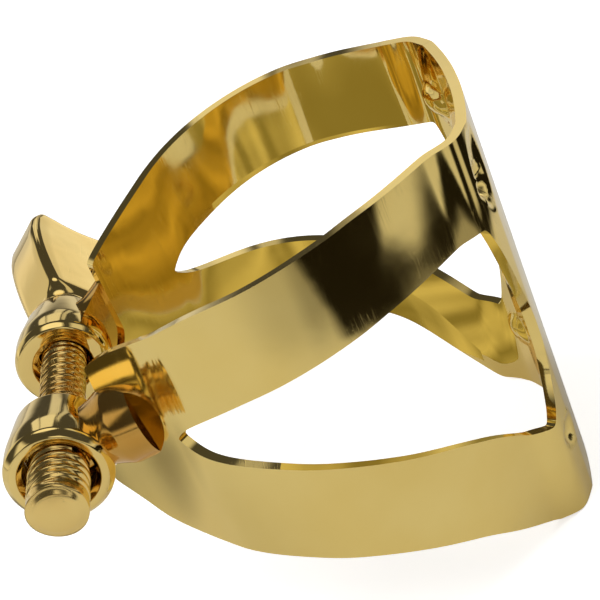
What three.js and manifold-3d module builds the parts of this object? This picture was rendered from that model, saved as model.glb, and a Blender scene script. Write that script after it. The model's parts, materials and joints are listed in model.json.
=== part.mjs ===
// Saxophone ligature: a forked sheet-metal band that clamps a flat reed against a round mouthpiece.
// Millimetres, +Z up along the mouthpiece, +X toward the reed plate, +Y toward the thumb screw head.
import * as THREE from 'three';
import { mergeVertices } from 'three/addons/utils/BufferGeometryUtils.js';
import initManifold from 'manifold-3d';

const solids = await initManifold();
solids.setup();

const GAP = 0.3;

// Band: one strip of sheet, bent at two creases on each side of the reed plate.
const SHEET = 0.65;
const PLATE_X = 16.1;
const PLATE_ARCH = 0.55;
const PLATE_HALF = 6.0;
const BEND_B = [14.7, 7.75];
const BEND_A = [13.05, 8.4];
const TAB_X = -9.9;
const TAB_CORNER_X = -11.5;
// Half plan of the strips at height TAPER_Z, as x, y from the tab at the screw to bend A.
const PLAN = [[TAB_CORNER_X, 5.16], [-8.5, 7.35], [-6.0, 9.6], [-4.0, 11.2], [0.0, 12.9], [3.0, 13.25],
  [6.0, 12.75], [8.0, 11.85], [10.0, 10.65], BEND_A];
// The mouthpiece is a cone, so the strips spread toward its wide end below.
const TAPER = 0.0069;
const TAPER_Z = 5.65;
const TAPER_FULL_X = 8.0;
const TAPER_END_X = 13.0;

const FORK_X = -5.75;
// Edges of the band as x, z: its top, the window between the two strips, and its bottom.
const EDGE_TOP = [[TAB_X, 7.0], [-8.5, 7.9], [-6.0, 9.15], [-3.0, 10.5], [0.0, 11.35], [6.0, 12.5],
  [BEND_A[0], 13.24]];
const EDGE_WINDOW_TOP = [[FORK_X, 2.85], [-5.0, 3.3], [-4.0, 3.85], [0.0, 5.2], [6.0, 6.45],
  [BEND_A[0], 7.3]];
const EDGE_WINDOW_LOW = [[FORK_X, 2.05], [-5.0, 1.55], [-4.0, 1.05], [0.0, 0.1], [4.0, -1.1],
  [8.0, -2.85], [11.0, -4.9], [BEND_A[0], -6.85]];
const EDGE_LOW = [[TAB_CORNER_X, -1.75], [TAB_X, -3.4], [-9.2, -4.2], [-8.0, -4.8], [-4.0, -5.6],
  [0.0, -6.3], [4.0, -7.4], [8.0, -9.3], [11.0, -12.0], [BEND_A[0], -13.75]];
// Room left under the front end of each barrel where the tab's low corner runs below it.
const TAB_CORNER_ROOM = 0.45;
const PLATE_TOP = 13.24;
const PLATE_LOW = -14.18;
const PLATE_WINDOW = 7.4;
const PLATE_WINDOW_Z = -0.1;
const WINDOW_END_Y = 5.8;
const WINDOW_END_DROP = 1.5;
const WINDOW_END_HALF = 0.3;

// Reed contacts: four dimples struck inward near the corners of the plate.
const DIMPLE_Y = 6.2;
const DIMPLE_HIGH = 9.4;
const DIMPLE_DEEP = -9.1;
const DIMPLE_R = 1.0;
const DIMPLE_SINK = 0.45;

// Clamp screw across the open end, and the two barrels that it joins.
const SCREW_X = -13.75;
const SCREW_Z = 2.1;
const THREAD_R = 1.9;
const SHANK_R = 1.5;
const THREAD_DEPTH = 0.3;
const THREAD_END_Y = -4.6;
const PITCH = 0.7;
const TIP_Y = -12.5;
const TIP_DOME = 0.35;
const FRONT_BARREL = { near: -9.3, far: -4.0, bore: 2.2, face: 2.95, wide: 3.35, narrow: 2.7 };
const BACK_BARREL = { near: 3.2, far: 8.5, bore: 1.8, face: 2.95, wide: 3.2, narrow: 2.4 };
const CHAMFER = 0.45;
const RIM = 0.35;

// Posts: a domed foot on the tab of the band, with a stalk that carries the barrel.
const FOOT_X = -9.2;
const FOOT_Z = 2.8;
const FOOT_R = 2.35;
const FOOT_SINK = 1.4;
const FOOT_RISE = 1.3;
const STALK_R = 2.0;
// The foot stays outside the tab, and outside the line that the tab points along.
const TAB_EXTEND = 5;
const KEEP_OUT_DEPTH = 5.0;
const KEEP_OUT_Z = [-8, -2, 5, 12];

// Thumb head: a collar on the shank, then a fan-shaped wing turned about the screw.
const COLLAR_Y = BACK_BARREL.far + GAP;
const COLLAR_R = 2.15;
const NECK_R = 1.85;
const WING_ROOT_Y = 9.6;
const WING_TIP_Y = 19.3;
const WING_ROOT_HALF = 1.9;
const WING_HALF = 3.75;
const WING_DIP = 0.5;
const WING_CORNER = 1.3;
const WING_THICK = 4.2;
const WING_ROUND = 0.6;
const WING_TURN = THREE.MathUtils.degToRad(49);

// The whole object stands on the plate's lower edge, centred over the origin.
const BASE_Z = PLATE_LOW;
const CENTRE_X = -0.5755;
const CENTRE_Y = 2.2847;

const polished = (colour, roughness) =>
  new THREE.MeshStandardMaterial({ color: colour, metalness: 1.0, roughness });

// Value of a smooth curve through points (u, v) at u.
function smooth(points, u) {
  const last = points.length - 1;
  const at = Math.min(Math.max(u, points[0][0]), points[last][0]);
  let i = 0;
  while (i < last - 1 && at > points[i + 1][0]) i += 1;
  const slope = (k) => {
    const a = points[Math.max(k - 1, 0)];
    const b = points[Math.min(k + 1, last)];
    return (b[1] - a[1]) / (b[0] - a[0]);
  };
  const [u0, v0] = points[i];
  const [u1, v1] = points[i + 1];
  const h = u1 - u0;
  const t = (at - u0) / h;
  const rise = (v1 - v0) * (3 * t * t - 2 * t * t * t);
  const swing = slope(i) * t * (1 - t) * (1 - t) - slope(i + 1) * t * t * (1 - t);
  return v0 + rise + h * swing;
}

// Half-height of the window where it ends in the plate, u = 0 at bend B and 1 at its end.
function windowEndHalf(u) {
  const full = PLATE_WINDOW * Math.pow(1 - Math.pow(u, 1.2), 0.77);
  return Math.max(full, WINDOW_END_HALF);
}

// One column of the band: its plan point, its four edge heights and whether the window is there.
function stripColumn(x) {
  const open = x >= FORK_X;
  const inWindow = Math.max(x, FORK_X);
  return {
    x,
    y: smooth(PLAN, x),
    taper: TAPER * THREE.MathUtils.clamp((TAPER_END_X - x) / (TAPER_END_X - TAPER_FULL_X), 0, 1),
    z: [smooth(EDGE_LOW, x), smooth(EDGE_WINDOW_LOW, inWindow), smooth(EDGE_WINDOW_TOP, inWindow),
      smooth(EDGE_TOP, x)],
    open,
  };
}

// Below the barrel the tab runs on to a low corner, with a round notch that clears the barrel.
function tabCorner(x) {
  const column = stripColumn(x);
  const notch = FRONT_BARREL.wide + TAB_CORNER_ROOM;
  const top = SCREW_Z - Math.sqrt(notch ** 2 - (x - SCREW_X) ** 2);
  const low = column.z[0];
  column.z = [low, low + (top - low) / 3, low + (2 * (top - low)) / 3, top];
  return column;
}

function plateColumn(x, y) {
  const u = THREE.MathUtils.clamp((BEND_B[1] - y) / (BEND_B[1] - WINDOW_END_Y), 0, 1);
  const half = windowEndHalf(u);
  const middle = PLATE_WINDOW_Z - WINDOW_END_DROP * u;
  return { x, y, taper: 0, z: [PLATE_LOW, middle - half, middle + half, PLATE_TOP], open: u < 1 };
}

const archX = (y) => PLATE_X - PLATE_ARCH * (y / PLATE_HALF) ** 2;

// Columns of one half of the band, from the tab to the middle of the plate.
function halfColumns() {
  const columns = [];
  for (const past of [0, 0.4, 0.8, 1.2, 1.5]) columns.push(tabCorner(TAB_CORNER_X + past));
  for (let x = TAB_X; x < FORK_X - 0.3; x += 0.85) columns.push(stripColumn(x));
  for (const step of [-0.01, 0, 0.15, 0.4, 0.9]) columns.push(stripColumn(FORK_X + step));
  for (let x = FORK_X + 1.6; x < BEND_A[0] - 0.4; x += 1.15) columns.push(stripColumn(x));
  columns.push(stripColumn(BEND_A[0]));
  columns.push(plateColumn(...BEND_B));
  for (const y of [7.4, 6.9, 6.4, PLATE_HALF, WINDOW_END_Y]) {
    const facet = (BEND_B[1] - y) / (BEND_B[1] - PLATE_HALF);
    const x = y > PLATE_HALF ? THREE.MathUtils.lerp(BEND_B[0], archX(PLATE_HALF), facet) : archX(y);
    columns.push(plateColumn(x, y));
  }
  for (const y of [4.4, 2.9, 1.4]) columns.push(plateColumn(archX(y), y));
  return columns;
}

// All columns from the front tab (y < 0) around the plate to the back tab.
function bandColumns() {
  const back = halfColumns();
  const front = back.map((column) => ({ ...column, y: -column.y }));
  return [...front, ...back.reverse()];
}

const planAt = (column, z) =>
  new THREE.Vector2(column.x, column.y * (1 + column.taper * (TAPER_Z - z)));

// Outward offset of column i at height z, mitred between its two neighbouring spans.
function mitre(columns, i, z) {
  const here = planAt(columns[i], z);
  const before = i > 0 ? here.clone().sub(planAt(columns[i - 1], z)).normalize() : null;
  const after = i < columns.length - 1 ? planAt(columns[i + 1], z).sub(here).normalize() : null;
  const a = before ?? after;
  const b = after ?? before;
  const along = a.clone().add(b).normalize();
  const widen = 1 / Math.max(along.dot(a), 0.6);
  return new THREE.Vector2(along.y, -along.x).multiplyScalar(widen);
}

// Closed shell of the band between two offsets from the middle of the sheet.
function bandShell(columns, first, last, inner, outer, windows = true) {
  const positions = [];
  const corner = (i, j, offset) => {
    const column = columns[i];
    const z = column.z[j];
    const p = planAt(column, z).addScaledVector(mitre(columns, i, z), offset);
    return [p.x, p.y, z];
  };
  const quad = (a, b, c, d) => positions.push(...a, ...b, ...c, ...a, ...c, ...d);
  const filled = (i, j) => j !== 1 || !windows || !(columns[i].open && columns[i + 1].open);
  for (let i = first; i < last; i += 1) {
    for (let j = 0; j < 3; j += 1) {
      if (!filled(i, j)) continue;
      const o = [corner(i, j, outer), corner(i + 1, j, outer), corner(i + 1, j + 1, outer),
        corner(i, j + 1, outer)];
      const n = [corner(i, j, inner), corner(i + 1, j, inner), corner(i + 1, j + 1, inner),
        corner(i, j + 1, inner)];
      quad(o[0], o[1], o[2], o[3]);
      quad(n[1], n[0], n[3], n[2]);
      if (j === 0 || !filled(i, j - 1)) quad(n[0], n[1], o[1], o[0]);
      if (j === 2 || !filled(i, j + 1)) quad(o[3], o[2], n[2], n[3]);
      if (i === first || !filled(i - 1, j)) quad(n[0], o[0], o[3], n[3]);
      if (i === last - 1 || !filled(i + 1, j)) quad(o[1], n[1], n[2], o[2]);
    }
  }
  const geometry = new THREE.BufferGeometry();
  geometry.setAttribute('position', new THREE.Float32BufferAttribute(positions, 3));
  return mergeVertices(geometry, 1e-4);
}

// A closed geometry as a manifold solid, and back.
function toSolid(geometry) {
  const plain = geometry.clone();
  plain.deleteAttribute('normal');
  plain.deleteAttribute('uv');
  const merged = mergeVertices(plain, 1e-4);
  return new solids.Manifold(new solids.Mesh({
    numProp: 3,
    vertProperties: new Float32Array(merged.attributes.position.array),
    triVerts: new Uint32Array(merged.index.array),
  }));
}

function toGeometry(solid) {
  const mesh = solid.getMesh();
  const geometry = new THREE.BufferGeometry();
  geometry.setAttribute('position', new THREE.BufferAttribute(mesh.vertProperties, 3));
  geometry.setIndex(new THREE.BufferAttribute(mesh.triVerts, 1));
  geometry.computeVertexNormals();
  return geometry;
}

// The biggest of the separate pieces of a solid.
function largest(solid) {
  const pieces = solid.decompose();
  return pieces.reduce((best, piece) => (piece.volume() > best.volume() ? piece : best));
}

const columns = bandColumns();
const END = columns.length - 1;
// Span of the front arm: from the front tab to bend A, which is its hinge.
const SPLIT = columns.findIndex((column) => column.x === BEND_A[0]);

// Adds the four dimples to the plate: a round bump inside and a matching hollow outside.
function strikeDimples(plate) {
  let solid = plate;
  for (const side of [-1, 1]) {
    for (const z of [DIMPLE_HIGH, DIMPLE_DEEP]) {
      const ball = new THREE.SphereGeometry(DIMPLE_R, 16, 10);
      const outside = archX(DIMPLE_Y) + SHEET / 2;
      const inside = outside - SHEET;
      const block = new THREE.BoxGeometry(4, 4, 4).translate(inside + 2.3, side * DIMPLE_Y, z);
      const bump = toSolid(ball.clone().translate(inside - DIMPLE_SINK + DIMPLE_R, side * DIMPLE_Y, z));
      const hollow = ball.clone().translate(outside - DIMPLE_SINK + DIMPLE_R, side * DIMPLE_Y, z);
      solid = solid.add(bump.subtract(toSolid(block))).subtract(toSolid(hollow));
    }
  }
  return solid;
}

function plateAndBackArm() {
  const shell = bandShell(columns, SPLIT, END, -SHEET / 2, SHEET / 2);
  return toGeometry(strikeDimples(toSolid(shell)));
}

// The front arm stops just short of the plate so that it can swing about bend A.
function frontArm() {
  const cut = columns.slice(0, SPLIT + 1);
  const last = cut[SPLIT];
  const before = cut[SPLIT - 1];
  const reach = Math.hypot(last.x - before.x, last.y - before.y);
  const keep = 1 - GAP / reach;
  const blend = (a, b) => THREE.MathUtils.lerp(a, b, keep);
  cut[SPLIT] = { ...last, x: blend(before.x, last.x), y: blend(before.y, last.y),
    z: last.z.map((z, j) => blend(before.z[j], z)) };
  const shell = bandShell(cut, 0, SPLIT, -SHEET / 2, SHEET / 2);
  shell.computeVertexNormals();
  return shell;
}

// Barrel turned about the screw: a broad chamfered mouth that narrows to the far end.
function barrelProfile(b, bore, grow = 0) {
  const r = (radius) => radius + grow;
  return [
    new THREE.Vector2(bore, b.near - grow),
    new THREE.Vector2(r(b.face), b.near - grow),
    new THREE.Vector2(r(b.wide), b.near + CHAMFER),
    new THREE.Vector2(r(b.wide), b.near + 4 * CHAMFER),
    new THREE.Vector2(r(b.narrow + RIM / 2), b.far - RIM),
    new THREE.Vector2(r(b.narrow - RIM / 2), b.far + grow),
    new THREE.Vector2(bore, b.far + grow),
  ];
}

function barrel(b) {
  const profile = barrelProfile(b, b.bore);
  profile.push(profile[0].clone());
  return new THREE.LatheGeometry(profile, 36).translate(SCREW_X, 0, SCREW_Z);
}

// Room that the thumb head turns in, beyond the back barrel.
function headSweep() {
  const wingReach = Math.hypot(WING_HALF, WING_THICK / 2) + GAP;
  return [
    new THREE.Vector2(COLLAR_R + GAP, COLLAR_Y),
    new THREE.Vector2(COLLAR_R + GAP, WING_ROOT_Y - GAP),
    new THREE.Vector2(wingReach, WING_ROOT_Y),
    new THREE.Vector2(wingReach, WING_TIP_Y),
    new THREE.Vector2(0, WING_TIP_Y),
  ];
}

// Post foot of one side, side = -1 at the front: a dome on the tab and a stalk to the barrel.
function foot(side, b) {
  const start = new THREE.Vector3(FOOT_X, side * smooth(PLAN, FOOT_X), FOOT_Z);
  const target = new THREE.Vector3(SCREW_X, (b.near + b.far) / 2, SCREW_Z);
  const reach = start.distanceTo(target);
  const profile = [new THREE.Vector2(0, -FOOT_SINK), new THREE.Vector2(FOOT_R, -FOOT_SINK)];
  for (let k = 0; k <= 6; k += 1) {
    const turn = (k / 6) * 0.5 * Math.PI;
    profile.push(new THREE.Vector2(
      STALK_R + (FOOT_R - STALK_R) * Math.cos(turn),
      FOOT_RISE * Math.sin(turn),
    ));
  }
  profile.push(new THREE.Vector2(STALK_R, reach), new THREE.Vector2(0, reach));
  const geometry = new THREE.LatheGeometry(profile, 32);
  const up = new THREE.Vector3(0, 1, 0);
  const along = target.clone().sub(start).normalize();
  geometry.applyQuaternion(new THREE.Quaternion().setFromUnitVectors(up, along));
  geometry.translate(start.x, start.y, start.z);
  const near = columns.slice(0, SPLIT)
    .map((column) => ({ ...column, y: column.y * -side, z: KEEP_OUT_Z }));
  const [tab, next] = near;
  const past = (a, b) => a + TAB_EXTEND * (a - b);
  const beyond = { ...tab, x: past(tab.x, next.x), y: past(tab.y, next.y) };
  const run = [beyond, ...near];
  if (side > 0) run.reverse();
  const keepOut = bandShell(run, 0, run.length - 1, -KEEP_OUT_DEPTH, SHEET / 2 + GAP, false);
  const core = barrelProfile(b, 0, GAP);
  if (side > 0) core.splice(-1, 1, ...headSweep());
  const sleeve = new THREE.LatheGeometry(core, 36).translate(SCREW_X, 0, SCREW_Z);
  const cut = toSolid(geometry).subtract(toSolid(keepOut)).subtract(toSolid(sleeve));
  return toGeometry(largest(cut));
}

// Shank: ridges at the thread pitch, thicker at its domed front end than between the posts.
function shank() {
  const root = THREAD_R - THREAD_DEPTH;
  const profile = [new THREE.Vector2(0, TIP_Y - TIP_DOME),
    new THREE.Vector2(0.6 * root, TIP_Y - 0.7 * TIP_DOME), new THREE.Vector2(root, TIP_Y)];
  for (let y = TIP_Y; y + PITCH < COLLAR_Y - GAP; y += PITCH) {
    const crest = y < THREAD_END_Y ? THREAD_R : SHANK_R;
    profile.push(new THREE.Vector2(crest, y + 0.4 * PITCH));
    profile.push(new THREE.Vector2(crest, y + 0.6 * PITCH));
    profile.push(new THREE.Vector2(crest - THREAD_DEPTH, y + PITCH));
  }
  profile.push(new THREE.Vector2(SHANK_R - THREAD_DEPTH, COLLAR_Y - GAP));
  profile.push(new THREE.Vector2(0, COLLAR_Y - GAP));
  return new THREE.LatheGeometry(profile, 24);
}

function collar() {
  const profile = [
    new THREE.Vector2(0, COLLAR_Y),
    new THREE.Vector2(COLLAR_R - 0.2, COLLAR_Y),
    new THREE.Vector2(COLLAR_R, COLLAR_Y + 0.2),
    new THREE.Vector2(COLLAR_R - 0.15, COLLAR_Y + 0.6),
    new THREE.Vector2(NECK_R, WING_ROOT_Y - GAP),
    new THREE.Vector2(0, WING_ROOT_Y - GAP),
  ];
  return new THREE.LatheGeometry(profile, 36);
}

// Fan-shaped wing with rounded corners and a shallow dip in its tip edge.
function wing() {
  const lift = WING_ROUND;
  const wide = WING_HALF - lift;
  const root = WING_ROOT_HALF - lift;
  const tip = WING_TIP_Y - lift;
  const base = WING_ROOT_Y + lift;
  const shoulder = tip - WING_CORNER - 0.6;
  const outline = new THREE.Shape();
  outline.moveTo(-root, base);
  outline.lineTo(root, base);
  outline.quadraticCurveTo(root + 0.3, base + 1.6, wide, shoulder);
  outline.quadraticCurveTo(wide + 0.15, tip, wide - WING_CORNER, tip);
  outline.quadraticCurveTo(0, tip - WING_DIP, -(wide - WING_CORNER), tip);
  outline.quadraticCurveTo(-wide - 0.15, tip, -wide, shoulder);
  outline.quadraticCurveTo(-root - 0.3, base + 1.6, -root, base);
  const geometry = new THREE.ExtrudeGeometry(outline, {
    depth: WING_THICK - 2 * WING_ROUND,
    bevelEnabled: true,
    bevelThickness: WING_ROUND,
    bevelSize: WING_ROUND,
    bevelSegments: 3,
    curveSegments: 8,
  });
  geometry.translate(0, 0, -(WING_THICK - 2 * WING_ROUND) / 2);
  return geometry.rotateY(WING_TURN);
}

function part(name, geometry, material) {
  const mesh = new THREE.Mesh(geometry, material);
  mesh.name = name;
  return mesh;
}

const gold = 0xd8b25a;
const deepGold = 0xc99a3c;

const bandGroup = new THREE.Group();
bandGroup.add(part('band_reed_plate_and_back_arm', plateAndBackArm(), polished(gold, 0.12)));
bandGroup.add(part('band_front_arm', frontArm(), polished(gold, 0.12)));

const postGroup = new THREE.Group();
postGroup.add(part('front_post_foot', foot(-1, FRONT_BARREL), polished(deepGold, 0.15)));
postGroup.add(part('front_post_barrel', barrel(FRONT_BARREL), polished(deepGold, 0.15)));
postGroup.add(part('back_post_foot', foot(1, BACK_BARREL), polished(deepGold, 0.15)));
postGroup.add(part('back_post_barrel', barrel(BACK_BARREL), polished(deepGold, 0.15)));

const screwGroup = new THREE.Group();
screwGroup.position.set(SCREW_X, 0, SCREW_Z);
screwGroup.add(part('thumb_screw_shank', shank(), polished(gold, 0.2)));
screwGroup.add(part('thumb_screw_collar', collar(), polished(gold, 0.15)));
screwGroup.add(part('thumb_screw_wing', wing(), polished(gold, 0.15)));

const ligature = new THREE.Group();
ligature.add(bandGroup, postGroup, screwGroup);
ligature.position.set(-CENTRE_X, -CENTRE_Y, -BASE_Z);

export default ligature;
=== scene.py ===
"""Looks of a gold-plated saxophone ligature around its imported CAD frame.

Sizes are millimetres in the ligature's own frame, the one of the CAD source: +X from the clamp
screw to the reed plate, +Y to the thumb head, +Z up along the mouthpiece. place() turns them into
metres in the row frame.
"""

import json
import math

import bpy
import numpy as np
from mathutils import Matrix, Vector


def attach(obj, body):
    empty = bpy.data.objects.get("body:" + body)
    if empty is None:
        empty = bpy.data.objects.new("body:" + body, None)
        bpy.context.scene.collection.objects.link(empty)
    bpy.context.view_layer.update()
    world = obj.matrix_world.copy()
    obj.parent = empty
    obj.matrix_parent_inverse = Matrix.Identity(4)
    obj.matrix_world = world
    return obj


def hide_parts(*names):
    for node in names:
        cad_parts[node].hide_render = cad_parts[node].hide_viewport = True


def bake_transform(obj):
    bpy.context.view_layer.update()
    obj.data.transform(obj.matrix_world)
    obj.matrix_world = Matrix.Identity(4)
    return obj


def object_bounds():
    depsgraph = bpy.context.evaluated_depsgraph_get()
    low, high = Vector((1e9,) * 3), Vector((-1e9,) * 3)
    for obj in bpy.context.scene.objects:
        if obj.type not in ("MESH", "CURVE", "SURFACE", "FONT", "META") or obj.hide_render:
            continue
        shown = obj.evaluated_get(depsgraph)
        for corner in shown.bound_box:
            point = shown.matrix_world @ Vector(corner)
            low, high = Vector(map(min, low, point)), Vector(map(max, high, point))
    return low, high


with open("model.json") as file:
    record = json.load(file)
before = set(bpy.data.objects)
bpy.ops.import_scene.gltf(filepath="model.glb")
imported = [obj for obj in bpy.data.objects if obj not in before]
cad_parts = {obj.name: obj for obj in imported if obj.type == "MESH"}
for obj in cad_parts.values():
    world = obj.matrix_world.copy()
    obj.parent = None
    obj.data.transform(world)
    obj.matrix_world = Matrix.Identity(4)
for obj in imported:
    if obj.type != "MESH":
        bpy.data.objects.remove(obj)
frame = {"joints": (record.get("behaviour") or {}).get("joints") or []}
CAD_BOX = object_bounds()

MM = 0.001
TURN = next(j for j in frame["joints"] if j["name"] == "thumb_screw_turn")
SCREW_X, SCREW_Z = -13.75, 2.1
ORIGIN = Vector(TURN["pos_m"]) - Vector((SCREW_X, 0, SCREW_Z)) * MM

# Band, as in the CAD source.
SHEET = 0.65
PLATE_X, PLATE_ARCH, PLATE_HALF = 16.1, 0.55, 6.0
BEND_B = (14.7, 7.75)
BEND_A = (13.05, 8.4)
TAB_X, TAB_CORNER_X = -9.9, -11.5
PLAN = [(TAB_CORNER_X, 5.16), (-8.5, 7.35), (-6.0, 9.6), (-4.0, 11.2), (0.0, 12.9), (3.0, 13.25),
        (6.0, 12.75), (8.0, 11.85), (10.0, 10.65), BEND_A]
TAPER, TAPER_Z, TAPER_FULL_X, TAPER_END_X = 0.0069, 5.65, 8.0, 13.0
FORK_X = -5.75
EDGE_TOP = [(TAB_X, 7.0), (-8.5, 7.9), (-6.0, 9.15), (-3.0, 10.5), (0.0, 11.35), (6.0, 12.5),
            (BEND_A[0], 13.24)]
EDGE_WINDOW_TOP = [(FORK_X, 2.85), (-5.0, 3.3), (-4.0, 3.85), (0.0, 5.2), (6.0, 6.45),
                   (BEND_A[0], 7.3)]
EDGE_WINDOW_LOW = [(FORK_X, 2.05), (-5.0, 1.55), (-4.0, 1.05), (0.0, 0.1), (4.0, -1.1),
                   (8.0, -2.85), (11.0, -4.9), (BEND_A[0], -6.85)]
EDGE_LOW = [(TAB_CORNER_X, -1.75), (TAB_X, -3.4), (-9.2, -4.2), (-8.0, -4.8), (-4.0, -5.6),
            (0.0, -6.3), (4.0, -7.4), (8.0, -9.3), (11.0, -12.0), (BEND_A[0], -13.75)]
PLATE_TOP, PLATE_LOW = 13.24, -14.18
PLATE_WINDOW, PLATE_WINDOW_Z = 7.4, -0.1
WINDOW_END_Y, WINDOW_END_DROP = 5.8, 1.5
# Room left around the front barrel by the round notch of the tab's corner.
TAB_CORNER_ROOM = 0.45

# Fineness of the band's grid: rows, steps in x, steps past the fork, parts of the way between the
# bends and from bend B to the window's end, and rows of the plate in y.
STRIP_ROWS, WINDOW_ROWS, TAB_CORNER_ROWS = 12, 12, 10
ROW_SPANS = (STRIP_ROWS, WINDOW_ROWS, STRIP_ROWS)
TAB_STEP, STRIP_STEP = 0.62, 0.75
FORK_STEPS = (-0.15, 0, 0.06, 0.16, 0.32, 0.55, 0.85)
BEND_PARTS = (0.15, 0.32, 0.54, 0.78)
WINDOW_END_PARTS = (0.13, 0.3, 0.45, 0.6, 0.73, 0.84, 0.92, 0.97, 1.0)
PLATE_YS = (5.5, 5.0, 4.3, 3.5, 2.6, 1.7, 0.8)
# What the look rounds beyond the CAD: edges, both bends, and the window's tip at the fork.
EDGE_RADIUS = 0.29
BEND_ROUND_A, BEND_ROUND_B = 0.6, 0.85
FORK_ROUND = 0.9

# Reed contacts: hollows outside, bumps inside. The upper two lie in an upright dish.
DIMPLES = ((-6.2, 9.4), (6.2, 9.4), (-6.2, -9.1), (6.2, -9.1))
DIMPLE_R, DIMPLE_SINK, DIMPLE_POWER = 1.2, 0.52, 1.2
DISH_Y, DISH_Z, DISH_HALF_Y, DISH_HALF_Z, DISH_SINK = 6.1, 10.25, 1.15, 2.75, 0.46

# Screw and barrels, as in the CAD source.
THREAD_R, SHANK_R, THREAD_DEPTH, PITCH = 1.9, 1.5, 0.3, 0.7
THREAD_END_Y = -4.6
TIP_Y, TIP_DOME = -12.5, 0.35
FRONT_BARREL = {"near": -9.3, "far": -4.0, "face": 2.95, "wide": 3.35, "narrow": 2.7}
BACK_BARREL = {"near": 3.2, "far": 8.5, "face": 2.95, "wide": 3.2, "narrow": 2.4}
CHAMFER, RIM = 0.45, 0.35
FOOT_X, FOOT_Z, FOOT_SINK, STALK_R = -9.2, 2.8, 1.4, 2.0

# Where the look differs from the CAD: a tighter back bore, and saddles that flare wider.
FRONT_BORE, BACK_BORE = 2.2, 1.72
SADDLE_R, SADDLE_START, SADDLE_RISE, SADDLE_POWER = 2.6, 0.4, 1.7, 1.3
# The feet are cut by a wall from inside the ring to just past the middle of the sheet.
CUT_ZS, CUT_INSIDE, CUT_OUTSIDE = (-9, -3, 3, 9, 14), 6, 0.1
# Thread groove as a share of a pitch, fading at both ends of the shank, and its wear.
GROOVE_OPEN, GROOVE_STEEP, GROOVE_DEEPER = 1.35, 3.6, 1.05
TIP_FADE, END_FADE = (TIP_Y + 0.35, TIP_Y + 1.3), (0.9, 0.5)
WEAR, WEAR_TWIST = 0.04, 5.3

# Thumb head, as in the CAD source.
COLLAR_Y, COLLAR_R, NECK_R = 8.8, 2.15, 1.85
WING_ROOT_Y, WING_TIP_Y = 9.6, 19.3
WING_HALF, WING_THICK = 3.75, 4.2
WING_CORNER, WING_ROUND = 1.3, 0.6
WING_TIP_START = WING_TIP_Y - 1.35
# The wing widens fast near its root and slower toward its tip, and turns from round to flat.
WING_SPREAD, WING_FLARE = (WING_ROOT_Y + 0.35, WING_TIP_START - 0.85), 1.55
WING_FILLET = (WING_ROOT_Y - 0.15, WING_ROOT_Y + 0.95)
WING_DIP, WING_DIP_HALF, WING_DIP_START = 0.5, 2.6, WING_ROOT_Y + 4
WING_TURN = math.radians(49)


# ---------------------------------------------------------------- numbers and places

def ramp(value, low, high):
    """0 below low, 1 above high, straight between."""
    return min(max((value - low) / (high - low), 0), 1)


def smooth_step(value, low, high):
    """0 below low, 1 above high, with a soft start and end."""
    t = ramp(value, low, high)
    return t * t * (3 - 2 * t)


def window(value, rise, fall):
    """0, then 1 past a rise, then 0 again past a fall, which are both (from, to)."""
    return smooth_step(value, *rise) * (1 - smooth_step(value, *fall))


def place(x, y, z):
    """A point of the ligature's own frame, in metres in the row frame."""
    return ORIGIN + Vector((x, y, z)) * MM


def at_screw(x, y, z):
    """A point given about the screw's axis, in metres in the row frame."""
    return place(SCREW_X + x, y, SCREW_Z + z)


# ---------------------------------------------------------------- mesh helpers

def mesh_object(name, points, faces):
    """A smooth-shaded object from points in metres and faces."""
    mesh = bpy.data.meshes.new(name)
    mesh.from_pydata([tuple(p) for p in points], [], faces)
    mesh.validate()
    mesh.shade_smooth()
    obj = bpy.data.objects.new(name, mesh)
    bpy.context.scene.collection.objects.link(obj)
    return obj


def apply_modifiers(obj):
    """Replaces the object's mesh with what its modifiers make of it."""
    graph = bpy.context.evaluated_depsgraph_get()
    graph.update()
    made = bpy.data.meshes.new_from_object(obj.evaluated_get(graph))
    obj.modifiers.clear()
    obj.data = made


def subtract(obj, cutter):
    """Cuts the cutter out of the object, and deletes the cutter."""
    mod = obj.modifiers.new("cut", "BOOLEAN")
    mod.operation = "DIFFERENCE"
    mod.solver = "EXACT"
    mod.object = cutter
    apply_modifiers(obj)
    bpy.data.objects.remove(cutter)


def tube_faces(rings, count, flip=False):
    """Quads between neighbours in a row of rings, each of count points."""
    faces = []
    for k in range(rings - 1):
        for i in range(count):
            m = (i + 1) % count
            quad = (k * count + i, k * count + m, (k + 1) * count + m, (k + 1) * count + i)
            faces.append(quad[:1] + quad[:0:-1] if flip else quad)
    return faces


def lathe(name, profile, steps, closed=True):
    """A ring, or a solid if not closed, turned about the screw's axis from (radius, y) points."""
    points, faces = [], []
    n = len(profile)
    for i in range(steps):
        turn = 2 * math.pi * i / steps
        for radius, y in profile:
            points.append(at_screw(radius * math.sin(turn), y, radius * math.cos(turn)))
    for i in range(steps):
        k = (i + 1) % steps
        for j in range(n if closed else n - 1):
            m = (j + 1) % n
            faces.append((i * n + j, i * n + m, k * n + m, k * n + j))
    return mesh_object(name, points, faces)


def rounded(corners, radii, steps=5):
    """A closed (radius, y) outline with each corner turned on its own radius."""
    outline = []
    n = len(corners)
    for i, radius in enumerate(radii):
        here = Vector(corners[i])
        back = Vector(corners[i - 1]) - here
        ahead = Vector(corners[(i + 1) % n]) - here
        if radius <= 0:
            outline.append(here)
            continue
        reach = min(radius, back.length * 0.45, ahead.length * 0.45)
        first = here + back.normalized() * reach
        last = here + ahead.normalized() * reach
        for k in range(steps + 1):
            t = k / steps
            outline.append(first * (1 - t) ** 2 + here * 2 * t * (1 - t) + last * t ** 2)
    return [tuple(p) for p in outline]


# ---------------------------------------------------------------- materials

def node(tree, kind, **values):
    """A new node, with values set on its inputs or else on the node itself."""
    made = tree.nodes.new(kind)
    for name, value in values.items():
        if name in made.inputs:
            made.inputs[name].default_value = value
        else:
            setattr(made, name, value)
    return made


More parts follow.
